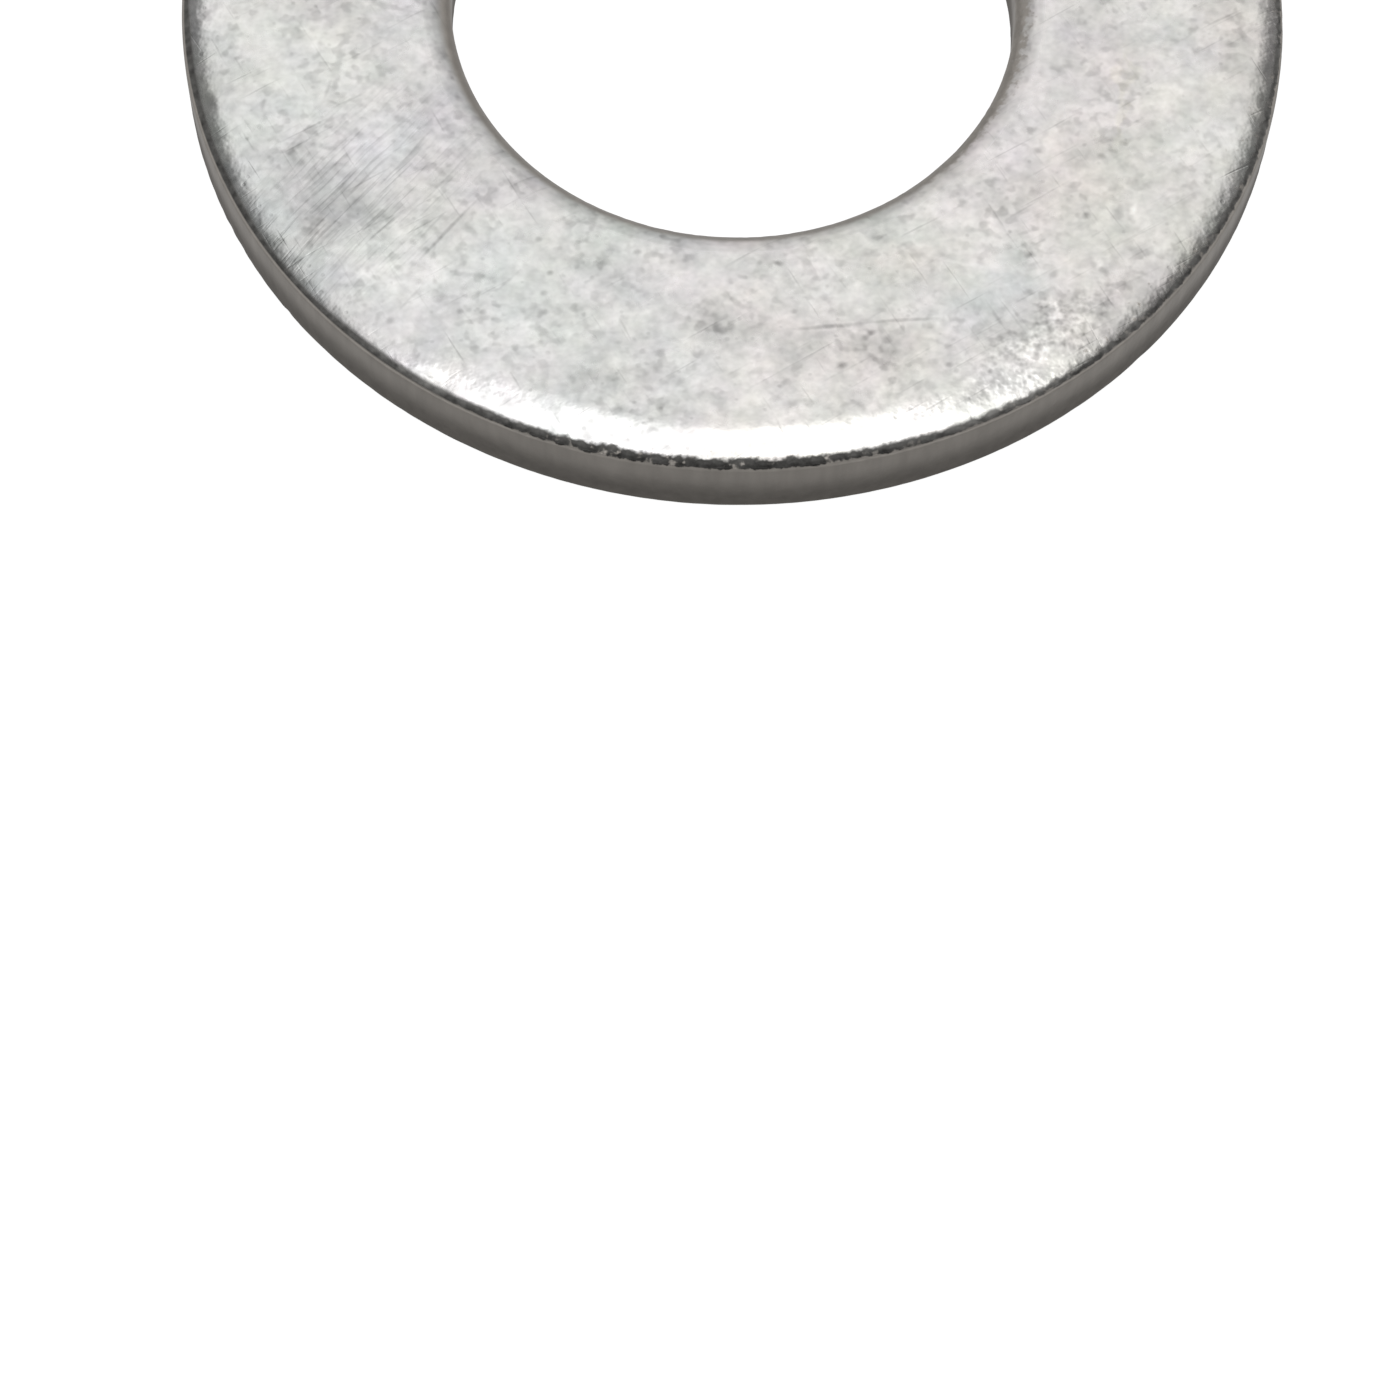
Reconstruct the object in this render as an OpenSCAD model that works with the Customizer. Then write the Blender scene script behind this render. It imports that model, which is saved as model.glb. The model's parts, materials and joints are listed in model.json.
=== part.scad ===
// Flat washer for a 7/16 inch bolt, stamped from flat steel strip.
//
// The stamping press leaves its mark on the section: the die draws the upper
// edges down into a roll before the metal shears, so the top face runs out
// into a wide roll at the outer edge and a narrower one round the hole. Below
// the rolls the sheared walls are straight, and tumbling has only just
// rounded the bottom edges.
//
// Frame: +Z along the hole. The origin is on the hole's axis, in the plane of
// the bottom face. Millimetres.

/* [Washer] */
// Outer diameter
outer_d = 23.42; // [20:0.01:30]
// Hole diameter, which clears the bolt's shank
hole_d = 12.0; // [8:0.01:14]
// Thickness from the bottom face to the flat of the top face
thickness = 1.6; // [1.3:0.01:3]

/* [Outer edge roll] */
// Width of the roll, inward from the outer wall
outer_roll_w = 1.05; // [0.6:0.05:1.4]
// Radius of the gentle arc that leaves the top face
outer_roll_r = 3.0; // [2:0.1:5]
// Radius of the tight arc that turns into the outer wall
outer_edge_r = 0.12; // [0.05:0.01:0.2]

/* [Hole edge roll] */
// Width of the roll, outward from the hole's wall
hole_roll_w = 0.65; // [0.3:0.05:0.7]
// Radius of the gentle arc that leaves the top face
hole_roll_r = 0.75; // [0.7:0.05:2]
// Radius of the tight arc that turns into the hole's wall
hole_edge_r = 0.2; // [0.05:0.01:0.3]

/* [Bottom edges] */
// Radius that tumbling leaves on both bottom edges
bottom_edge_r = 0.08; // [0.03:0.01:0.15]

/* [Hidden] */
$fn = 180;
outer_r = outer_d / 2;
hole_r = hole_d / 2;
ring_w = outer_r - hole_r;
// How far a cutting shape runs past the metal that it trims
overcut = 1;

// Angle from the top face to where the gentle arc hands over to the tight one
function roll_angle(width, gentle_r, edge_r) = asin((width - edge_r) / (gentle_r - edge_r));

// Depth of a roll, from the top face down to where the straight wall starts
function roll_depth(width, gentle_r, edge_r) =
    gentle_r - (gentle_r - edge_r) * cos(roll_angle(width, gentle_r, edge_r));

// The metal that a roll takes away, for a wall along the Y axis with the
// metal on its left and the top face along the X axis. The two arcs share a
// tangent where they meet, and are tangent to the top face and to the wall.
module roll_cut(width, gentle_r, edge_r) {
    turn = roll_angle(width, gentle_r, edge_r);
    depth = roll_depth(width, gentle_r, edge_r);
    gentle_run = gentle_r * sin(turn);
    difference() {
        translate([-width, -depth]) square([width + overcut, depth + overcut]);
        intersection() {
            translate([-width, -gentle_r]) circle(r = gentle_r);
            translate([-width - overcut, -depth - overcut]) square([gentle_run + overcut, depth + 2 * overcut]);
        }
        translate([-edge_r, -depth]) circle(r = edge_r);
    }
}

// The metal that a plain rounding takes away, for a wall along the Y axis
// with the metal on its left and the bottom face along the X axis
module round_cut(edge_r) {
    difference() {
        translate([-edge_r, -overcut]) square([edge_r + overcut, edge_r + overcut]);
        translate([-edge_r, edge_r]) circle(r = edge_r);
    }
}

// Half section of the ring, from the hole's wall to the outer wall
module section() {
    difference() {
        translate([hole_r, 0]) square([ring_w, thickness]);
        translate([outer_r, thickness]) roll_cut(outer_roll_w, outer_roll_r, outer_edge_r);
        translate([hole_r, thickness]) mirror([1, 0]) roll_cut(hole_roll_w, hole_roll_r, hole_edge_r);
        translate([outer_r, 0]) round_cut(bottom_edge_r);
        translate([hole_r, 0]) mirror([1, 0]) round_cut(bottom_edge_r);
    }
}

module washer() {
    color([0.78, 0.78, 0.77]) rotate_extrude() section();
}

washer();
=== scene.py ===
import json
import math
import random

import bpy
from mathutils import Matrix, Vector, noise


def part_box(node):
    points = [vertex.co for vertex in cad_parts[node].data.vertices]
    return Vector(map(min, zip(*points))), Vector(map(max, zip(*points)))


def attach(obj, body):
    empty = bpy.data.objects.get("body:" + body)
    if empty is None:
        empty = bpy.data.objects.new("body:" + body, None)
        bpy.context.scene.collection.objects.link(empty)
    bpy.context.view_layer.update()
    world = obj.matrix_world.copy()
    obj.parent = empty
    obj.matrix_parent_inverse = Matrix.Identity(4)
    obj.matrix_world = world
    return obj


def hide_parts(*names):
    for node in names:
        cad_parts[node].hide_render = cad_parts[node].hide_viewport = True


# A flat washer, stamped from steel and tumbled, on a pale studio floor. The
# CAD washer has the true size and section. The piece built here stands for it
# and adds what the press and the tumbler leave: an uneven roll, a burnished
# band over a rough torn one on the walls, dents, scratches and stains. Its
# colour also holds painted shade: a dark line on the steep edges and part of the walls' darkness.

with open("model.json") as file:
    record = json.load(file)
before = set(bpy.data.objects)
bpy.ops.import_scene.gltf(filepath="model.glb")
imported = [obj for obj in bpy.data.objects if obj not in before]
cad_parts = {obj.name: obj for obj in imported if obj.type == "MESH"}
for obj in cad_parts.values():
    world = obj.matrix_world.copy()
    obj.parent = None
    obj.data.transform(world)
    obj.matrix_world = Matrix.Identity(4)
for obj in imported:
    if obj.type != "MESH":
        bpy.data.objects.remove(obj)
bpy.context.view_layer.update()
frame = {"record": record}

# ---------------------------------------------------------------- sizes, in mm
MM = 0.001
node_low, node_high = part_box("washer")
OUTER_R = node_high.x / MM
THICKNESS = node_high.z / MM
HOLE_R = next(m["dims"]["r_mm"] for m in frame["record"]["mounts"] if m["name"] == "bore")

# A roll is a gentle arc from the top face, then a tight one into the wall
OUTER_ROLL = {"width": 1.05, "gentle": 3.0, "tight": 0.12}
HOLE_ROLL = {"width": 0.65, "gentle": 0.75, "tight": 0.2}
BOTTOM_EDGE_R = 0.08

# Steps round the washer, and along each stretch of its section
RING_STEPS = 1024
FACE_STEPS = 14
GENTLE_STEPS = 13
TIGHT_STEPS = 8
WALL_STEPS = 12
BOTTOM_EDGE_STEPS = 3
BOTTOM_FACE_STEPS = 10

# Marks on the top face: middle x and y, half length, half
# width, angle in degrees, and how dark, or below 0 how light
SCRATCHES = [
    (-5.7, -6.4, 1.25, 0.06, 54, 0.30),
    (-6.9, -6.25, 0.80, 0.06, 49, 0.18),
    (-7.95, -4.7, 0.50, 0.06, 48, 0.21),
    (-8.95, -4.5, 0.35, 0.09, 50, 0.24),
    (-7.3, -5.0, 0.90, 0.05, 52, 0.15),
    (-6.3, -8.0, 0.60, 0.05, 55, 0.12),
    (-4.4, -7.6, 0.70, 0.05, 50, 0.09),
    (2.2, -8.3, 0.95, 0.08, 9, 0.32),
    (3.7, -8.1, 0.95, 0.07, 6, 0.26),
    (2.8, -9.1, 0.55, 0.07, -45, -0.06),
    (3.7, -9.1, 0.55, 0.07, 48, -0.06),
    (2.5, -6.7, 0.60, 0.07, -8, -0.07),
    (4.6, -6.6, 0.65, 0.07, -14, -0.07),
    (-8.4, -3.0, 0.32, 0.06, 82, 0.18),
    (-8.25, -3.3, 0.18, 0.06, -20, 0.18),
]
SPOTS = [
    (2.5, -9.2, 0.17, 0.12, 10, 0.35),
    (4.7, -9.1, 0.15, 0.10, 0, 0.30),
    (1.15, -6.85, 0.15, 0.10, 0, 0.30),
    (1.5, -8.0, 0.12, 0.09, 30, 0.25),
    (3.1, -8.4, 0.14, 0.10, 0, 0.30),
    (-3.8, -6.5, 0.12, 0.10, 0, 0.30),
    (-1.75, -6.7, 0.14, 0.10, 20, 0.30),
    (-6.7, -8.6, 0.14, 0.12, 0, 0.25),
    (-5.3, -8.3, 0.12, 0.10, 0, 0.30),
    (-4.8, -8.3, 0.12, 0.10, 0, 0.30),
    (-3.6, -7.8, 0.12, 0.10, 0, 0.25),
    (-3.5, -7.3, 0.10, 0.10, 0, 0.30),
    (6.45, -3.8, 0.14, 0.12, 0, 0.30),
    (7.8, -3.9, 0.14, 0.12, 0, 0.30),
    (7.5, -5.35, 0.16, 0.12, 40, 0.30),
    (6.3, -6.4, 0.18, 0.12, 35, 0.30),
    (6.8, -6.85, 0.16, 0.12, 35, 0.30),
    (6.3, -7.3, 0.16, 0.12, 0, 0.30),
    (8.45, -5.2, 0.18, 0.10, 70, -0.25),
    (7.75, -6.55, 0.20, 0.10, 60, -0.25),
]
STAINS = [
    (-8.1, -6.2, 1.70, 1.10, 54, 0.22),
    (-8.8, -4.8, 1.20, 0.80, 66, 0.20),
    (-2.6, -9.9, 1.00, 0.40, 8, 0.20),
    (-1.2, -9.7, 1.00, 0.40, 0, 0.20),
    (-0.4, -10.2, 0.90, 0.30, 0, 0.18),
    (3.4, -8.6, 1.40, 0.60, 15, 0.14),
    (8.2, -7.2, 1.20, 0.50, 42, 0.20),
    (-7.1, -4.1, 1.50, 1.00, 50, -0.09),
    (-6.0, -7.6, 1.40, 0.90, 50, -0.09),
    (0.5, -8.6, 4.50, 1.60, 0, 0.07),
]
# Soft patches of colour on the top face: middle x and y, half length, half
# width, angle, and what they add to red, green and blue
TINTS = [
    (5.6, -7.4, 2.2, 0.9, 28, (-0.035, 0.005, 0.015)),
    (9.6, -0.8, 1.8, 1.0, 85, (0.000, 0.015, 0.040)),
    (7.2, -4.4, 2.4, 1.5, 58, (0.030, 0.000, -0.010)),
    (4.0, -6.6, 2.0, 0.8, 12, (0.030, 0.000, -0.010)),
    (-9.0, -5.6, 2.4, 0.7, -55, (0.025, 0.000, -0.005)),
    (8.3, -2.5, 2.0, 0.2, 86, (0.005, 0.005, -0.045)),
    (-7.0, -4.4, 1.6, 1.0, 50, (-0.020, 0.005, 0.015)),
]


# ------------------------------------------------------------------- section
def roll_points(roll):
    """(inset from the wall, drop below the top face, slope in degrees) from the flat to the wall."""
    width, gentle, tight = roll["width"], roll["gentle"], roll["tight"]
    turn = math.asin((width - tight) / (gentle - tight))
    depth = gentle - (gentle - tight) * math.cos(turn)
    points = []
    for i in range(GENTLE_STEPS):
        a = turn * i / GENTLE_STEPS
        points.append((width - gentle * math.sin(a), gentle * (1 - math.cos(a)), math.degrees(a)))
    for i in range(TIGHT_STEPS + 1):
        a = turn + (math.pi / 2 - turn) * i / TIGHT_STEPS
        points.append((tight * (1 - math.sin(a)), depth - tight * math.cos(a), math.degrees(a)))
    return points


def side_points(roll):
    """(inset, height, slope, share of the wall passed) down one side: roll, wall and bottom edge."""
    points = [(inset, THICKNESS - drop, slope, 0.0) for inset, drop, slope in roll_points(roll)]
    wall_top = points[-1][1]
    for i in range(1, WALL_STEPS + 1):
        share = i / WALL_STEPS
        points.append((0.0, wall_top + (BOTTOM_EDGE_R - wall_top) * share, 90.0, share))
    for i in range(1, BOTTOM_EDGE_STEPS + 1):
        a = math.pi / 2 * i / BOTTOM_EDGE_STEPS
        inset = BOTTOM_EDGE_R * (1 - math.cos(a))
        height = BOTTOM_EDGE_R * (1 - math.sin(a))
        points.append((inset, height, 90 + math.degrees(a), 1.0))
    return points


def radii_between(start, end, steps):
    """The radii strictly between start and end, that cut the stretch into steps."""
    return [start + (end - start) * i / steps for i in range(1, steps)]


def section_points():
    """The closed section as (radius, height, slope, wall share, side), outward over the top and back
    under the bottom. side is 1 on the outer side, -1 on the hole's side and 0 on the faces."""
    outer = [(OUTER_R - inset, z, slope, share, 1) for inset, z, slope, share in side_points(OUTER_ROLL)]
    hole = [(HOLE_R + inset, z, slope, share, -1) for inset, z, slope, share in side_points(HOLE_ROLL)]
    hole.reverse()
    over = radii_between(hole[-1][0], outer[0][0], FACE_STEPS)
    under = radii_between(outer[-1][0], hole[0][0], BOTTOM_FACE_STEPS)
    top = [(radius, THICKNESS, 0.0, 0.0, 0) for radius in over]
    bottom = [(radius, 0.0, 180.0, 1.0, 0) for radius in under]
    return top + outer + bottom + hole


# ---------------------------------------------------------------------- wear
# Depths of the wear, in mm, and the sizes of its noise, in bumps to the mm
ROLL_SAG = 0.016
ROLL_SAG_NOISE = 0.45
PIT_DEPTH = 0.008
PIT_NOISE = 3.0
CHIP_DEPTH = 0.010
CHIP_NOISE = 6.5
TORN_DEPTH = 0.008
TORN_UNEVEN = 0.007
TORN_NOISE = 4.0
# Where the washer isn't worn, pits and chips have this share of their depth
LEAST_PITTED = 0.2
# It is worn to the front and to the right of the hole's axis, from the first
# distance on and fully from the second, in mm
WORN_FRONT = (9.0, 11.2)
WORN_RIGHT = (3.0, 7.0)

# The torn band is halfway in at about this share of the way down the wall,
# and it fades in over this much either side of there. The place wanders by
# an amount, as a share of the wall, in waves of a length, in mm
TORN_FROM = 0.42
TORN_FADE = 0.38
LONG_WAVES = (0.10, 4.0)
SHORT_WAVES = (0.06, 0.7)
# Kinds of wear fade in or out over these slopes, in degrees from the flat
ROLL_SLOPES = (0, 8)
PITTED_SLOPES = (13, 24)
WALL_STARTS = (30, 80)
WALL_ENDS = (95, 150)
# The roll's wear fades out down these shares of the wall
SAG_FADE = (0.0, 0.2)
PIT_FADE = (0.0, 0.25)

# Dents sit at one of these (radius, height) places, and each has a radius and
# a depth between two bounds, in mm
DENT_SEED = 7
DENT_COUNT = 26
DENT_PLACES = [(11.5, 1.45), (11.65, 1.3), (10.9, 1.6), (11.7, 0.1), (6.1, 1.4)]
DENT_RADIUS = (0.15, 0.4)
DENT_DEPTH = (0.006, 0.02)


def smooth(x, low, high):
    """0 to 1, smoothly, as x goes from low to high."""
    x = min(max((x - low) / (high - low), 0.0), 1.0)
    return x * x * (3 - 2 * x)


def wander(angle, size, seed):
    """Smooth noise round the ring, about -1 to 1, whose bumps are size mm long at the outer edge."""
    reach = OUTER_R / size
    return noise.noise(Vector((math.cos(angle) * reach, math.sin(angle) * reach, seed)))


def torn_start(angle, side):
    """The share of the wall at which the torn band is halfway in, at one angle on one side."""
    long_amount, long_size = LONG_WAVES
    short_amount, short_size = SHORT_WAVES
    long_waves = long_amount * wander(angle, long_size, side)
    short_waves = short_amount * wander(angle, short_size, side + 5)
    return TORN_FROM + (long_waves + short_waves)


def make_dents():
    """Small dents from knocking against other washers, as (middle, radius, depth)."""
    draw = random.Random(DENT_SEED)
    dents = []
    for _ in range(DENT_COUNT):
        angle = draw.uniform(0, 2 * math.pi)
        radius, height = draw.choice(DENT_PLACES)
        middle = Vector((radius * math.cos(angle), radius * math.sin(angle), height))
        dents.append((middle, draw.uniform(*DENT_RADIUS), draw.uniform(*DENT_DEPTH)))
    return dents


def dent_depth(p, dents):
    """How far the dents push the surface in at p."""
    depth = 0.0
    for middle, radius, deepest in dents:
        away = (p - middle).length / radius
        if away < 1:
            depth += deepest * (1 - away * away) ** 2
    return depth


def wear_depth(p, slope, share, worn, torn):
    """How far p is pushed in by wear. The roll is uneven, its steep part is pitted, more so where it
    is worn, and the torn band is rough."""
    on_roll = smooth(slope, *ROLL_SLOPES) * (1 - smooth(share, *SAG_FADE))
    depth = ROLL_SAG * on_roll * (1 + noise.noise(p * ROLL_SAG_NOISE)) * 0.5
    pitted = smooth(slope, *PITTED_SLOPES) * (1 - smooth(share, *PIT_FADE))
    pitted *= LEAST_PITTED + (1 - LEAST_PITTED) * worn
    depth += PIT_DEPTH * pitted * (1 + noise.noise(p * PIT_NOISE)) * 0.5
    depth += CHIP_DEPTH * pitted * max(0.0, noise.noise(p * CHIP_NOISE))
    depth += torn * (TORN_DEPTH + TORN_UNEVEN * noise.noise(p * TORN_NOISE))
    return depth


# ---------------------------------------------------------------------- mesh
def ring_faces(count):
    """Four-sided faces that join a ring of RING_STEPS sections of count points each."""
    faces = []
    for i in range(RING_STEPS):
        here = i * count
        there = (i + 1) % RING_STEPS * count
        for j in range(count):
            k = (j + 1) % count
            faces.append((here + j, here + k, there + k, there + j))
    return faces


def build_washer():
    """The washer's mesh, with each point's slope and how torn it is as attributes."""
    section = section_points()
    dents = make_dents()
    verts, slopes, tears = [], [], []
    for i in range(RING_STEPS):
        angle = 2 * math.pi * i / RING_STEPS
        c, s = math.cos(angle), math.sin(angle)
        worn = max(smooth(-OUTER_R * s, *WORN_FRONT), smooth(OUTER_R * c, *WORN_RIGHT))
        torn_from = {side: torn_start(angle, side) for side in (-1, 0, 1)}
        for radius, height, slope, share, side in section:
            p = Vector((radius * c, radius * s, height))
            lean = side * math.sin(math.radians(slope))
            outward = Vector((lean * c, lean * s, math.cos(math.radians(slope))))
            on_wall = smooth(slope, *WALL_STARTS) * (1 - smooth(slope, *WALL_ENDS))
            torn = smooth(share, torn_from[side] - TORN_FADE, torn_from[side] + TORN_FADE) * on_wall
            depth = wear_depth(p, slope, share, worn, torn) + dent_depth(p, dents)
            verts.append((p - outward * depth) * MM)
            slopes.append(min(slope, 180 - slope) / 90)
            tears.append(torn)
    mesh = bpy.data.meshes.new("flat_washer")
    mesh.from_pydata(verts, [], ring_faces(len(section)))
    mesh.validate()
    for name, values in (("slope", slopes), ("tear", tears)):
        mesh.attributes.new(name, "FLOAT", "POINT").data.foreach_set("value", values)
    mesh.polygons.foreach_set("use_smooth", [True] * len(mesh.polygons))
    mesh.update()
    washer = bpy.data.objects.new("flat_washer", mesh)
    bpy.context.scene.collection.objects.link(washer)
    return washer


# --------------------------------------------------------------- shader nodes
class Graph:
    """A node tree, with short calls that add one node, set or wire its inputs, and return an output."""

    def __init__(self, tree):
        self.tree = tree

    def add(self, kind, inputs, output=0, **settings):
        node = self.tree.nodes.new("ShaderNode" + kind)
        for name, value in settings.items():
            setattr(node, name, value)
        for key, value in inputs.items():
            self.put(node, key, value)
        return node.outputs[output]

    def put(self, node, key, value):
        if isinstance(value, bpy.types.NodeSocket):
            self.tree.links.new(value, node.inputs[key])
        else:
            node.inputs[key].default_value = value

    def math(self, operation, a, b=0.0, clamp=False):
        return self.add("Math", {0: a, 1: b}, operation=operation, use_clamp=clamp)

    def times(self, a, b):
        return self.math("MULTIPLY", a, b)

    def total(self, values):
        """The sum of a list of values."""
        total = values[0]
        for value in values[1:]:
            total = self.math("ADD", total, value)
        return total

    def vector(self, operation, a, b):
        return self.add("VectorMath", {0: a, 1: b}, operation=operation)

    def scaled(self, vector, amount):
        return self.add("VectorMath", {0: vector, "Scale": amount}, operation="SCALE")

    def length(self, vector):
        return self.add("VectorMath", {0: vector}, "Value", operation="LENGTH")

    def along(self, vector, axis):
        """The X, Y or Z part of a vector."""
        return self.add("SeparateXYZ", {0: vector}, axis)

    def ramp(self, value, start, end, low=0.0, high=1.0):
        """low to high, smoothly, as value goes from start to end."""
        inputs = {"Value": value, "From Min": start, "From Max": end, "To Min": low, "To Max": high}
        return self.add("MapRange", inputs, interpolation_type="SMOOTHSTEP")

    def mix(self, share, a, b):
        return self.add("Mix", {0: share, 2: a, 3: b}, data_type="FLOAT")

    def blend(self, share, a, b):
        return self.add("Mix", {0: share, 6: a, 7: b}, 2, data_type="RGBA")

    def noise(self, place, scale, detail=2.0, roughness=0.5, output="Fac"):
        inputs = {"Vector": place, "Scale": scale, "Detail": detail, "Roughness": roughness}
        return self.add("TexNoise", inputs, output)

    def sway(self, place, scale, amount, detail=2.0):
        """Noise about 0, between -amount and amount at the very most."""
        centred = self.math("SUBTRACT", self.noise(place, scale, detail), 0.5)
        return self.times(centred, amount * 2)

    def drift(self, place, scale, detail, roughness=0.5):
        """A vector of noise about 0, with each part between -0.5 and 0.5 at the very most."""
        colour = self.noise(place, scale, detail, roughness, "Color")
        return self.vector("SUBTRACT", colour, (0.5, 0.5, 0.5))

    def patch(self, place, x, y, half_length, half_width, angle, soft=0.9):
        """1 in the middle of an ellipse, fading to 0 at its rim."""
        inputs = {
            "Vector": place,
            "Location": (x, y, 0),
            "Rotation": (0, 0, math.radians(angle)),
            "Scale": (half_length, half_width, 1),
        }
        inside = self.add("Mapping", inputs, vector_type="TEXTURE")
        return self.ramp(self.length(inside), 1.0, 1.0 - soft)

    def marks(self, place, rows):
        """The sum of a list of marks, each as dark as its last number says."""
        return self.total([self.times(self.patch(place, *row[:5]), row[5]) for row in rows])

    def lines(self, place, angle, spacing, length, low, high):
        """Fine broken scratches at an angle: noise drawn out along it, cut off between low and high."""
        inputs = {
            "Vector": place,
            "Rotation": (0, 0, math.radians(angle)),
            "Scale": (length, spacing, 1),
        }
        drawn = self.add("Mapping", inputs, vector_type="TEXTURE")
        return self.ramp(self.noise(drawn, 1.0, 1.0), low, high)

    def pits(self, place, scale, size, share):
        """Dots about size mm across, in a share of the cells of a Voronoi pattern."""
        inputs = {"Vector": place, "Scale": scale}
        away = self.add("TexVoronoi", inputs, "Distance")
        cell = self.add("TexVoronoi", inputs, "Color")
        chosen = self.add("SeparateColor", {0: cell}, "Red")
        radius = size * scale / 2
        dot = self.ramp(away, radius, radius * 0.4)
        return self.times(dot, self.math("LESS_THAN", chosen, share))


# ---------------------------------------------------------------------- steel
# Base colours of the metal
FACE_COLOUR = (0.745, 0.742, 0.730)
# Wall colours: darker than the face partly as sheared steel and partly as painted shade; the torn band
# low down is darkest, so the wall is painted darker towards the bottom
BURNISHED_AND_PAINTED_SHADE_COLOUR = (0.52, 0.485, 0.445)
TORN_AND_PAINTED_SHADE_COLOUR = (0.27, 0.250, 0.228)
# Colour of a painted dark reflection: the dark line on the steep end of the outer roll and round the hole
PAINTED_DARK_EDGE_COLOUR = (1.0, 0.98, 0.94)
# How strong the painted dark reflection's colour is, on most of the edge and at the front
PAINTED_DARK_EDGE_SHADE = 0.19
FRONT_PAINTED_DARK_EDGE_SHADE = 0.07
# How warm the face gets towards the right
WARMTH = (0.010, 0.0, -0.018)

# Roughness of each finish, and what the hole's roll adds to the face's
FACE_ROUGHNESS = 0.26
POLISHED_ROUGHNESS = 0.14
HOLE_ROLL_DULLNESS = 0.16
BURNISHED_ROUGHNESS = 0.36
TORN_ROUGHNESS = 0.55

# Zones of the top face: middle x and y, half length, half width and angle
RUBBED_ZONE = (-7.6, -5.6, 4.0, 2.9, 54)
PEENED_PATCH = (6.6, -8.4, 3.0, 0.9, 39)
# Zones that fade in from one place to another, in mm: by height, by distance
# from the axis, and along Y and X
TOP_ZONE = (0.9, 1.3)
OUTER_ZONE = (8.0, 9.0)
FRONT_ZONE = (-9.8, -11.6)
RIGHT_ZONE = (3.0, 7.0)
WARM_ZONE = (-5.0, 7.0)

# Noise that pushes places about: bumps to the mm, detail and roughness, and
# how far it pushes, in mm. Stains have ragged edges, and scratches bend a little
RAGGED_NOISE = (1.4, 3.0, 0.6)
RAGGED_PUSH = 1.4
BENT_NOISE = (0.7, 1.0)
BENT_PUSH = 0.12

# Sets of fine scratches: angle in degrees, spacing and length in mm, and the
# two levels between which noise turns into a scratch
CLOSE_LINES = (53, 0.07, 1.4, 0.50, 0.68)
BROAD_LINES = (54, 0.16, 2.6, 0.50, 0.74)
STRAY_LINES = (35, 0.09, 1.6, 0.64, 0.85)
CROSSING_LINES = (-58, 0.09, 1.2, 0.66, 0.85)
BROAD_LINES_SHARE = 0.45
# Pits: cells to the mm, size in mm, and the share of the cells that have one
LARGE_PITS = (1.7, 0.16, 0.4)
SMALL_PITS = (3.4, 0.12, 0.4)

# Mottle, from broad to fine: bumps to the mm, amount and detail
BROAD_MOTTLE = (0.5, 0.18)
MIDDLE_MOTTLE = (1.5, 0.27)
FINE_MOTTLE = (5.0, 0.20, 1.0)
PEENED_FLECKS = (6.5, 0.8, 1.0)
# Specks are as dark as their crowd is thick, between two bounds
SPECKS_NOISE = (4.2, 1.0)
SPECKS_LEVELS = (0.46, 0.70)
CROWDS_NOISE = (0.8, 3.0, 0.6)
CROWDS_LEVELS = (0.38, 0.62)
SPECKS_DARKNESS = (0.04, 0.24)

# How bright the face is before the dark marks are taken off
FACE_BRIGHTNESS = 1.035
# What scratches and pits take off the brightness, and cut into the bump
LINE_DARKNESS = 0.19
PIT_DARKNESS = 0.12
LINE_CUT = 0.20
PIT_CUT = 0.15
BUMP_MM = 0.008
PEENED_BUMP = 1.3

# Sways, each as bumps to the mm, amount and detail. They make the edge of the
# wall chipped, the painted dark reflection uneven, and the finishes vary from place to place
CHIPPED_SWAY = (6.0, 0.45)
PAINTED_EDGE_BORDER_SWAY = (0.4, 0.015)
PAINTED_EDGE_BORDER_RAGGED = (5.0, 1.0)
PAINTED_DARK_EDGE_SWAY = (5.0, 1.0)
BURNISHED_SWAY = (4.0, 0.20, 3.0)
TORN_SWAY = (4.0, 0.25, 4.0)
ROUGHNESS_SWAY = (1.1, 0.06, 3.0)
# How ragged the painted dark reflection's edge is where the washer isn't worn, and
# where it is, and how much sooner it starts at the front, all as slopes
PAINTED_EDGE_RAGGED_SLOPES = (0.004, 0.030)
PAINTED_EDGE_SOONER = 0.013
# The burnished band's grain is drawn out down the wall by this scale
DOWN_THE_WALL = (1, 1, 0.15)

# Drifts of colour: bumps to the mm and detail, and how strong
WIDE_DRIFT = (0.30, 2.0)
WIDE_DRIFT_SHARE = 0.10
SMALL_DRIFT = (1.5, 2.0)
SMALL_DRIFT_SHARE = 0.06

# The bump's noise, and how coarse the grain is on steep edges, at slopes from
# the first to the second, where the washer isn't worn and where it is
GRAIN_NOISE = (3.6, 2.0, 0.55)
KNOCKS_NOISE = (5.5, 1.0)
STEEP_EDGES = (0.12, 0.25)
STEEP_GRAIN = (0.7, 2.4)

# Slopes are stored from 0 on the flat to 1 on a wall. These are where the
# painted dark reflection fades in, at the steep end of the outer roll, where the look of the
# wall fades in, on the tight arc, and where the hole's painted dark line fades in
PAINTED_EDGE_SLOPE = (0.172, 0.196)
WALL_SLOPE = (0.24, 0.46)
HOLE_LINE_SLOPE = (0.35, 0.70)
HOLE_LINE_SHARE = 0.75
# Where the outer roll's polish and the hole roll's dullness fade in
POLISH_SLOPE = (0.01, 0.06)
DULL_SLOPE = (0.0, 0.08)


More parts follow.
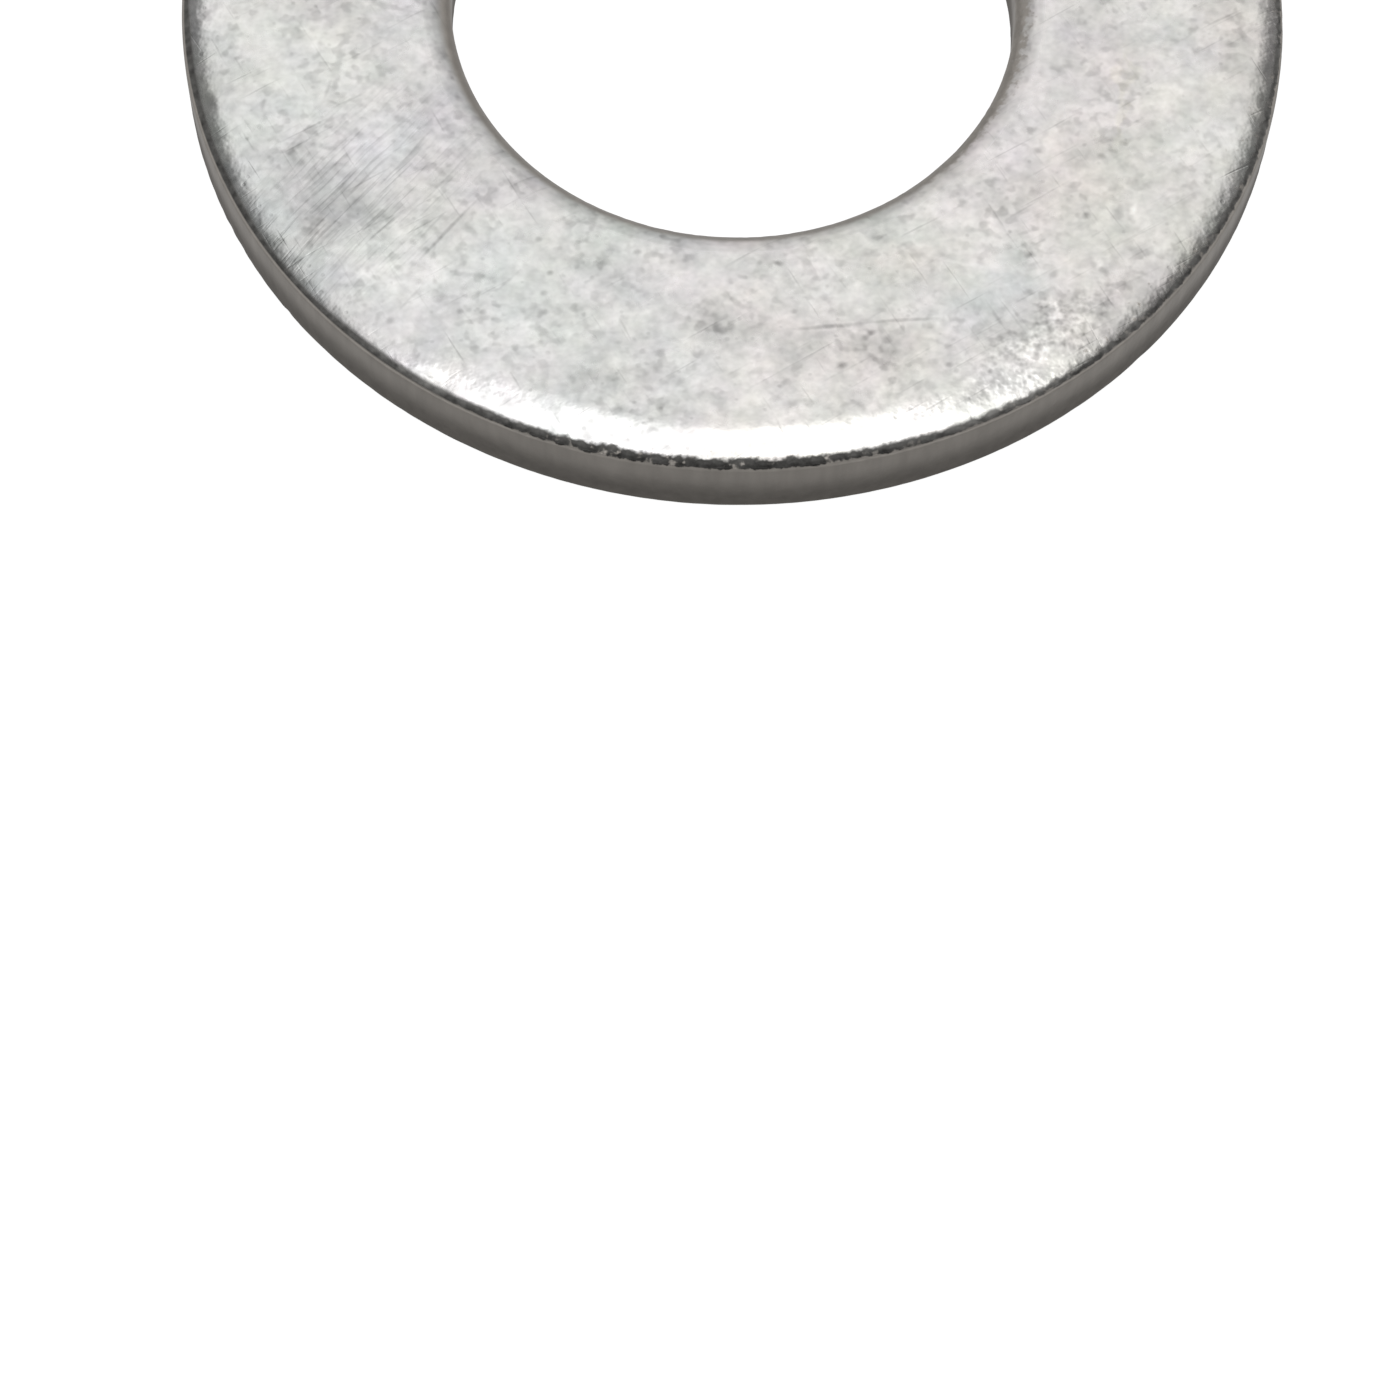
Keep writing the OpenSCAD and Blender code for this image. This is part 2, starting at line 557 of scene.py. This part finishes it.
class Steel(Graph):
    """The steel's node tree, with the places and the zones that its parts share. Places are in mm."""

    def __init__(self, tree):
        super().__init__(tree)
        self.place = self.scaled(self.add("TexCoord", {}, "Object"), 1 / MM)
        self.flat = self.vector("MULTIPLY", self.place, (1, 1, 0))
        self.ragged = self.pushed(self.drift(self.flat, *RAGGED_NOISE), RAGGED_PUSH)
        self.bent = self.pushed(self.drift(self.flat, *BENT_NOISE), BENT_PUSH)
        self.slope = self.add("Attribute", {}, "Fac", attribute_name="slope")
        self.tear = self.add("Attribute", {}, "Fac", attribute_name="tear")
        self.on_top = self.ramp(self.along(self.place, "Z"), *TOP_ZONE)
        self.outer = self.ramp(self.length(self.flat), *OUTER_ZONE)
        self.front = self.ramp(self.along(self.place, "Y"), *FRONT_ZONE)
        right = self.ramp(self.along(self.place, "X"), *RIGHT_ZONE)
        self.worn = self.math("MAXIMUM", self.front, right)
        self.peened = self.times(self.patch(self.ragged, *PEENED_PATCH), self.on_top)
        self.scratches = self.fine_scratches()
        large_pits = self.pits(self.place, *LARGE_PITS)
        self.dots = self.math("ADD", large_pits, self.pits(self.place, *SMALL_PITS))
        self.painted_dark_edge = self.painted_dark_edge_share()
        chipped = self.times(self.sway(self.place, *CHIPPED_SWAY), self.worn)
        self.on_wall = self.ramp(self.math("ADD", self.slope, chipped), *WALL_SLOPE)

    def pushed(self, drift, amount):
        """The places as seen from above, each pushed about by a drift times an amount in mm."""
        return self.vector("ADD", self.flat, self.scaled(drift, amount))

    def fine_scratches(self):
        """Parallel scratches in the rubbed zone, and stray ones all over."""
        zone = self.times(self.patch(self.ragged, *RUBBED_ZONE), self.on_top)
        close_lines = self.lines(self.bent, *CLOSE_LINES)
        broad_lines = self.times(self.lines(self.bent, *BROAD_LINES), BROAD_LINES_SHARE)
        rubbed = self.times(self.math("ADD", close_lines, broad_lines), zone)
        stray = self.lines(self.place, *STRAY_LINES)
        crossing = self.lines(self.place, *CROSSING_LINES)
        return self.total([stray, crossing, rubbed])

    def painted_dark_edge_share(self):
        """Where the painted dark reflection sits: the steep end of the outer roll, and a line round the
        hole.
        """
        sooner = self.times(self.front, PAINTED_EDGE_SOONER)
        ragged = self.times(self.sway(self.place, *PAINTED_EDGE_BORDER_RAGGED), self.mix(self.worn, *PAINTED_EDGE_RAGGED_SLOPES))
        edge = self.total([self.slope, sooner, self.sway(self.place, *PAINTED_EDGE_BORDER_SWAY), ragged])
        outer_painted_edge = self.times(self.ramp(edge, *PAINTED_EDGE_SLOPE), self.outer)
        inner = self.math("SUBTRACT", HOLE_LINE_SHARE, self.outer, True)
        hole_line = self.times(self.ramp(self.slope, *HOLE_LINE_SLOPE), inner)
        return self.math("MAXIMUM", outer_painted_edge, hole_line)

    def brightness(self):
        """How much light the face gives back, about 1."""
        by_hand = self.total([
            self.marks(self.bent, SCRATCHES),
            self.marks(self.bent, SPOTS),
            self.marks(self.ragged, STAINS),
        ])
        mottle = self.total([
            self.times(self.sway(self.place, *PEENED_FLECKS), self.peened),
            self.sway(self.place, *BROAD_MOTTLE),
            self.sway(self.place, *MIDDLE_MOTTLE),
            self.sway(self.place, *FINE_MOTTLE),
        ])
        crowding = self.ramp(self.noise(self.place, *CROWDS_NOISE), *CROWDS_LEVELS, *SPECKS_DARKNESS)
        specks = self.ramp(self.noise(self.place, *SPECKS_NOISE), *SPECKS_LEVELS)
        dark = self.total([
            self.times(by_hand, self.on_top),
            self.times(specks, crowding),
            self.times(self.scratches, LINE_DARKNESS),
            self.times(self.dots, PIT_DARKNESS),
        ])
        return self.math("SUBTRACT", self.math("ADD", mottle, FACE_BRIGHTNESS), dark)

    def tints(self):
        """Soft drifts of colour about 0, and the listed patches."""
        wide = self.scaled(self.drift(self.place, *WIDE_DRIFT), WIDE_DRIFT_SHARE)
        small = self.scaled(self.drift(self.place, *SMALL_DRIFT), SMALL_DRIFT_SHARE)
        tint = self.vector("ADD", wide, small)
        warm = self.ramp(self.along(self.place, "X"), *WARM_ZONE)
        tint = self.vector("ADD", tint, self.scaled(WARMTH, warm))
        for x, y, half_length, half_width, angle, colour in TINTS:
            share = self.patch(self.ragged, x, y, half_length, half_width, angle, 1.0)
            tint = self.vector("ADD", tint, self.scaled(colour, self.times(share, self.on_top)))
        return tint

    def face_colour(self):
        white = self.vector("ADD", self.tints(), (1, 1, 1))
        return self.vector("MULTIPLY", self.scaled(white, self.brightness()), FACE_COLOUR)

    # The painted dark reflection's colour: uneven, and darker at the front
    def painted_dark_edge_colour(self):
        uneven = self.math("ADD", self.sway(self.place, *PAINTED_DARK_EDGE_SWAY), 1.0)
        shade = self.mix(self.front, PAINTED_DARK_EDGE_SHADE, FRONT_PAINTED_DARK_EDGE_SHADE)
        return self.scaled(PAINTED_DARK_EDGE_COLOUR, self.times(uneven, shade))

    def wall_colour_with_painted_shade(self):
        """A burnished band with grain that runs down it, and a dull torn band below, both darker than the
        face partly as sheared steel and partly as painted shade, darkest low down.
        """
        down = self.add("Mapping", {"Vector": self.place, "Scale": DOWN_THE_WALL}, vector_type="POINT")
        grain = self.math("ADD", self.sway(down, *BURNISHED_SWAY), 1.0)
        broken = self.math("ADD", self.sway(self.place, *TORN_SWAY), 1.0)
        burnished_and_shade = self.scaled(BURNISHED_AND_PAINTED_SHADE_COLOUR, grain)
        return self.blend(self.tear, burnished_and_shade, self.scaled(TORN_AND_PAINTED_SHADE_COLOUR, broken))

    def roughness(self):
        """The outer roll is polished, the hole's roll is duller than the face, walls are rougher."""
        outer_top = self.times(self.on_top, self.outer)
        polish = self.times(self.ramp(self.slope, *POLISH_SLOPE), outer_top)
        inner = self.math("SUBTRACT", 1.0, self.outer)
        hole_roll = self.times(self.ramp(self.slope, *DULL_SLOPE), inner)
        finish = self.mix(polish, FACE_ROUGHNESS, POLISHED_ROUGHNESS)
        finish = self.math("ADD", finish, self.times(hole_roll, HOLE_ROLL_DULLNESS))
        rough_face = self.math("ADD", self.sway(self.place, *ROUGHNESS_SWAY), finish)
        rough_wall = self.mix(self.tear, BURNISHED_ROUGHNESS, TORN_ROUGHNESS)
        return self.mix(self.math("MAXIMUM", self.painted_dark_edge, self.on_wall), rough_face, rough_wall)

    def relief(self):
        """The bump: grain, coarser on worn steep edges, a peened patch, scratches and pits."""
        coarse = self.ramp(self.slope, *STEEP_EDGES, 1.0, self.mix(self.worn, *STEEP_GRAIN))
        grain = self.times(self.noise(self.place, *GRAIN_NOISE), coarse)
        knocks = self.times(self.noise(self.place, *KNOCKS_NOISE), self.times(self.peened, PEENED_BUMP))
        cut = self.math("ADD", self.times(self.scratches, LINE_CUT), self.times(self.dots, PIT_CUT))
        height = self.math("SUBTRACT", self.math("ADD", grain, knocks), cut)
        return self.add("Bump", {"Strength": 1.0, "Distance": BUMP_MM * MM, "Height": height})


def steel():
    material = bpy.data.materials.new("tumbled_steel")
    material.use_nodes = True
    g = Steel(material.node_tree)
    shader = material.node_tree.nodes["Principled BSDF"]
    # The painted dark reflection is laid over the face's colour, and the walls over both
    top = g.blend(g.painted_dark_edge, g.face_colour(), g.painted_dark_edge_colour())
    g.put(shader, "Base Color", g.blend(g.on_wall, top, g.wall_colour_with_painted_shade()))
    g.put(shader, "Roughness", g.roughness())
    g.put(shader, "Normal", g.relief())
    shader.inputs["Metallic"].default_value = 1.0
    return material


# ---------------------------------------------------------------------- stage
# The softbox hangs over the washer. Its outline, from above, in mm
SOFTBOX_HEIGHT = 200
SOFTBOX_CORNERS = [
    (-94, 2),
    (-86, -4),
    (-60, -17),
    (-30, -26),
    (30, -26),
    (60, -17),
    (80, -8),
    (94, 4),
    (80, 18),
    (50, 38),
    (26, 60),
    (10, 78),
    (-12, 78),
    (-28, 58),
    (-50, 33),
    (-66, 20),
    (-84, 10),
]
SOFTBOX_GLOW = 1.6
# The studio is a flat floor with a dome over it, which only the camera sees.
# Its glow and its small share of reflected light add up to white
STUDIO_R = 500
FLOOR_DROP = 0.02
DOME_SIDES = 64
DOME_RINGS = 16
STUDIO_GREY = 0.30
STUDIO_GLOW = 0.94


def stage_material(name, grey, glow):
    """A matt material that glows white, as (material, shader)."""
    material = bpy.data.materials.new(name)
    material.use_nodes = True
    shader = material.node_tree.nodes["Principled BSDF"]
    shader.inputs["Base Color"].default_value = (grey, grey, grey, 1)
    shader.inputs["Roughness"].default_value = 1.0
    shader.inputs["Specular IOR Level"].default_value = 0.0
    shader.inputs["Emission Color"].default_value = (1, 1, 1, 1)
    shader.inputs["Emission Strength"].default_value = glow
    return material, shader


def stage_white():
    """Pale floor and backdrop, clear from behind, so that they never hide the washer from below."""
    material, shader = stage_material("studio_white", STUDIO_GREY, STUDIO_GLOW)
    g = Graph(material.node_tree)
    behind = g.add("NewGeometry", {}, "Backfacing")
    clear = g.add("BsdfTransparent", {})
    seen = g.add("MixShader", {0: behind, 1: shader.outputs[0], 2: clear})
    g.put(material.node_tree.nodes["Material Output"], "Surface", seen)
    return material


def add_stage(name, verts, faces, material):
    """A piece of the stage, from corners in mm."""
    mesh = bpy.data.meshes.new(name)
    mesh.from_pydata([Vector(v) * MM for v in verts], [], faces)
    mesh.materials.append(material)
    piece = bpy.data.objects.new(name, mesh)
    bpy.context.scene.collection.objects.link(piece)
    return piece


def dome_corners():
    """Rings of corners from the floor up, and the corner at the very top."""
    corners = []
    for ring in range(DOME_RINGS):
        lift = math.pi / 2 * ring / DOME_RINGS
        reach = STUDIO_R * math.cos(lift)
        height = STUDIO_R * math.sin(lift) - FLOOR_DROP
        for side in range(DOME_SIDES):
            turn = 2 * math.pi * side / DOME_SIDES
            corners.append((reach * math.cos(turn), reach * math.sin(turn), height))
    corners.append((0, 0, STUDIO_R))
    return corners


def dome_faces():
    """The floor, the bands between the rings, and the triangles round the top corner."""
    faces = [tuple(range(DOME_SIDES))]
    for ring in range(DOME_RINGS):
        for side in range(DOME_SIDES):
            here = ring * DOME_SIDES + side
            there = ring * DOME_SIDES + (side + 1) % DOME_SIDES
            if ring + 1 < DOME_RINGS:
                faces.append((here, here + DOME_SIDES, there + DOME_SIDES, there))
            else:
                faces.append((here, DOME_RINGS * DOME_SIDES, there))
    return faces


def build_studio():
    studio = add_stage("studio", dome_corners(), dome_faces(), stage_white())
    studio.visible_glossy = False
    studio.visible_diffuse = False
    studio.visible_shadow = False


def build_softbox():
    corners = [(x, y, SOFTBOX_HEIGHT) for x, y in SOFTBOX_CORNERS]
    facing_down = tuple(reversed(range(len(corners))))
    light = stage_material("softbox_light", 0.0, SOFTBOX_GLOW)[0]
    softbox = add_stage("softbox", corners, [facing_down], light)
    softbox.visible_camera = False


# The world's light goes by direction, where 1 is straight to the side, to the
# back or up. A bright lane runs from overhead to the back, and fades out to
# its sides and to the front. Its light grows stronger with height
LANE_SIDE = (0.52, 0.33)
LANE_FRONT = (-0.15, 0.0)
LANE_UP = (0.0, 0.76)
LANE_GLOW = (0.55, 0.91)
# The sides are brighter low down than overhead, and the front is even
SIDES_UP = (0.46, 0.60)
SIDES_GLOW = (0.55, 0.20)
FRONT_GLOW = 0.36
# Light from below, from the front to the back
BELOW_BACK = (-0.6, 0.6)
BELOW_GLOW = (0.31, 0.42)
HORIZON = (-0.05, 0.05)


def build_world():
    """Soft studio light: a bright lane overhead and behind, dim sides, a dim front and a dim floor."""
    world = bpy.data.worlds.new("studio")
    bpy.context.scene.world = world
    world.use_nodes = True
    g = Graph(world.node_tree)
    toward = g.add("TexCoord", {}, "Generated")
    side = g.math("ABSOLUTE", g.along(toward, "X"))
    back = g.along(toward, "Y")
    up = g.along(toward, "Z")
    lane = g.ramp(side, *LANE_SIDE)
    dim = g.mix(lane, g.ramp(up, *SIDES_UP, *SIDES_GLOW), FRONT_GLOW)
    lit = g.times(lane, g.ramp(back, *LANE_FRONT))
    above = g.mix(lit, dim, g.ramp(up, *LANE_UP, *LANE_GLOW))
    below = g.ramp(back, *BELOW_BACK, *BELOW_GLOW)
    glow = g.mix(g.ramp(up, *HORIZON), below, above)
    background = world.node_tree.nodes["Background"]
    background.inputs["Color"].default_value = (1, 1, 1, 1)
    g.put(background, "Strength", glow)


# --------------------------------------------------------------------- camera
# Distance from the origin in outer radii, height angle in degrees, and lens
# and sensor in mm. The camera aims at the origin before it is turned, in
# degrees, to the left, down and round its own line of sight
CAMERA_RADII = 8.0
CAMERA_ELEVATION = 54.31
CAMERA_LENS = 111.8
CAMERA_SENSOR = 36
TURN_LEFT = 0.178
LOOK_DOWN = 8.730
LEAN = -2.324
# Nearest and farthest that the camera sees, in metres
NEAREST = 0.005
FARTHEST = 20


def build_camera():
    data = bpy.data.cameras.new("camera")
    data.sensor_width = CAMERA_SENSOR
    data.lens = CAMERA_LENS
    data.clip_start = NEAREST
    data.clip_end = FARTHEST
    camera = bpy.data.objects.new("camera", data)
    bpy.context.scene.collection.objects.link(camera)
    lift = math.radians(CAMERA_ELEVATION)
    place = Vector((0, -math.cos(lift), math.sin(lift))) * CAMERA_RADII * OUTER_R * MM
    ahead = -place.normalized()
    right = Vector((1, 0, 0))
    up = right.cross(ahead)
    turn = Matrix.Rotation(math.radians(TURN_LEFT), 3, up)
    ahead, right = turn @ ahead, turn @ right
    down = Matrix.Rotation(math.radians(-LOOK_DOWN), 3, right)
    ahead, up = down @ ahead, down @ up
    lean = Matrix.Rotation(math.radians(LEAN), 3, ahead)
    right, up = lean @ right, lean @ up
    facing = Matrix((right, up, -ahead)).transposed()
    camera.matrix_world = Matrix.Translation(place) @ facing.to_4x4()
    bpy.context.scene.camera = camera


build_camera()
washer = build_washer()
washer.data.materials.append(steel())
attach(washer, "root")
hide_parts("washer")
build_studio()
build_softbox()
build_world()
bpy.context.scene.view_settings.view_transform = "Standard"
